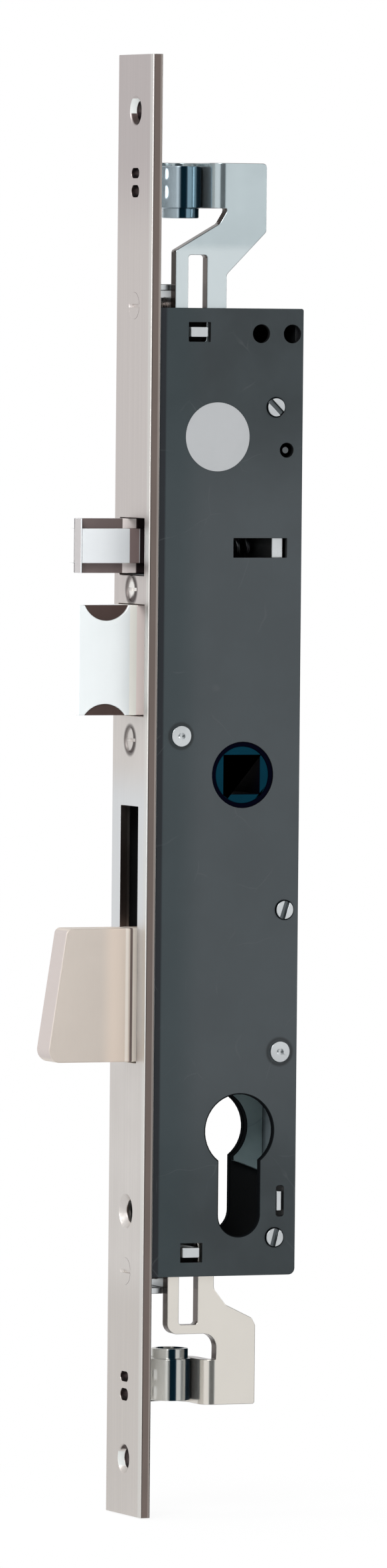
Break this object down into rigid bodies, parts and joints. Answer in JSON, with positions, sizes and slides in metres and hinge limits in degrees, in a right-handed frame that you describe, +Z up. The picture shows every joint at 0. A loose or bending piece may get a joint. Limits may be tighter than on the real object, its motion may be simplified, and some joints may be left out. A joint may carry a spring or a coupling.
{
  "type": "door lock",
  "caption": "Narrow multi-point mortise lock with a long forend, handle follower, cylinder cut-out, latch, auxiliary latch, swinging deadbolt and sliders for locking rods.",
  "frame": {"origin": "on the front face of the forend, in the middle of its width, level with the spindle's axis", "axes": "+X from the forend into the door, +Y through the door away from the case's cover, +Z up"},
  "size_m": [0.0614, 0.0224, 0.3481],
  "materials": {
    "forend_steel": "satin, fine vertical grain",
    "case_steel": "dark passivated sheet, semi-matt",
    "zinc_plate": "bright zinc plating, blue-grey",
    "latch_nickel": "nickel-plated, smooth",
    "bolt_steel": "satin nickel, warm grey",
    "screw_zinc": "bright zinc",
    "bush_black": "black, matt",
    "follower_zinc": "die-cast zinc, dark",
    "insert_brown": "dark brown, matt",
    "spring_steel": "drawn wire",
    "inner_steel": "zinc-plated, dull",
    "label_grey": "blank light grey label"
  },
  "bodies": {
    "case": {"forend": "forend_steel", "forend_screws": "forend_steel", "case_tray": "case_steel", "case_cover": "case_steel", "cover_screws": "screw_zinc", "guide_rivet": "screw_zinc", "case_rivet": "screw_zinc", "cover_tab": "screw_zinc", "locating_pin": "screw_zinc", "cylinder_support": "case_steel", "round_label": "label_grey", "latch_fixing_block": "inner_steel", "rivet_fixing_block": "inner_steel", "upper_end_bracket": "screw_zinc", "lower_end_bracket": "screw_zinc", "upper_guide_block": "screw_zinc", "lower_guide_block": "screw_zinc", "follower_bush_near": "bush_black", "follower_bush_far": "bush_black", "follower_spring": "spring_steel", "latch_spring": "spring_steel", "trigger_spring": "spring_steel", "trigger_guide": "screw_zinc", "deadbolt_pivot": "inner_steel", "pivot_collar": "inner_steel"},
    "follower": {"follower": "follower_zinc"},
    "latch": {"latch_head": "latch_nickel", "latch_pads": "insert_brown", "latch_tail": "inner_steel"},
    "trigger": {"trigger": "latch_nickel", "trigger_rails": "insert_brown"},
    "deadbolt": {"deadbolt": "bolt_steel", "deadbolt_gear": "inner_steel"},
    "upper_slider": {"upper_slider": "zinc_plate", "upper_rod_bush": "zinc_plate"},
    "lower_slider": {"lower_slider": "zinc_plate", "lower_rod_bush": "zinc_plate", "key_dogs": "inner_steel"}
  },
  "joints": [
    {"name": "latch_slide", "type": "slide", "parent": "case", "child": "latch", "axis": [1, 0, 0], "range_m": [0, 0.0145], "stiffness_N_per_m": 250, "springref_m": -0.012, "deforming": ["latch_spring"]},
    {"name": "follower_turn", "type": "hinge", "parent": "case", "child": "follower", "pos_m": [0.025, 0, 0], "axis": [0, 1, 0], "range_deg": [0, 45], "deforming": ["follower_spring"]},
    {"name": "trigger_press", "type": "slide", "parent": "case", "child": "trigger", "axis": [1, 0, 0], "range_m": [0, 0.0124], "stiffness_N_per_m": 120, "springref_m": -0.012, "deforming": ["trigger_spring"]},
    {"name": "deadbolt_swing", "type": "hinge", "parent": "case", "child": "deadbolt", "pos_m": [0.022, 0, -0.0513], "axis": [0, 1, 0], "range_deg": [0, 90]},
    {"name": "upper_rod_slide", "type": "slide", "parent": "case", "child": "upper_slider", "axis": [0, 0, 1], "range_m": [-0.00943, 0]},
    {"name": "lower_rod_slide", "type": "slide", "parent": "case", "child": "lower_slider", "axis": [0, 0, 1], "range_m": [0, 0.00943]}
  ],
  "couplings": [
    {"joint": "follower_turn", "follows": "latch_slide", "rad_per_m": 54.165},
    {"joint": "upper_rod_slide", "follows": "deadbolt_swing", "m_per_rad": -0.006},
    {"joint": "lower_rod_slide", "follows": "deadbolt_swing", "m_per_rad": 0.006}
  ]
}
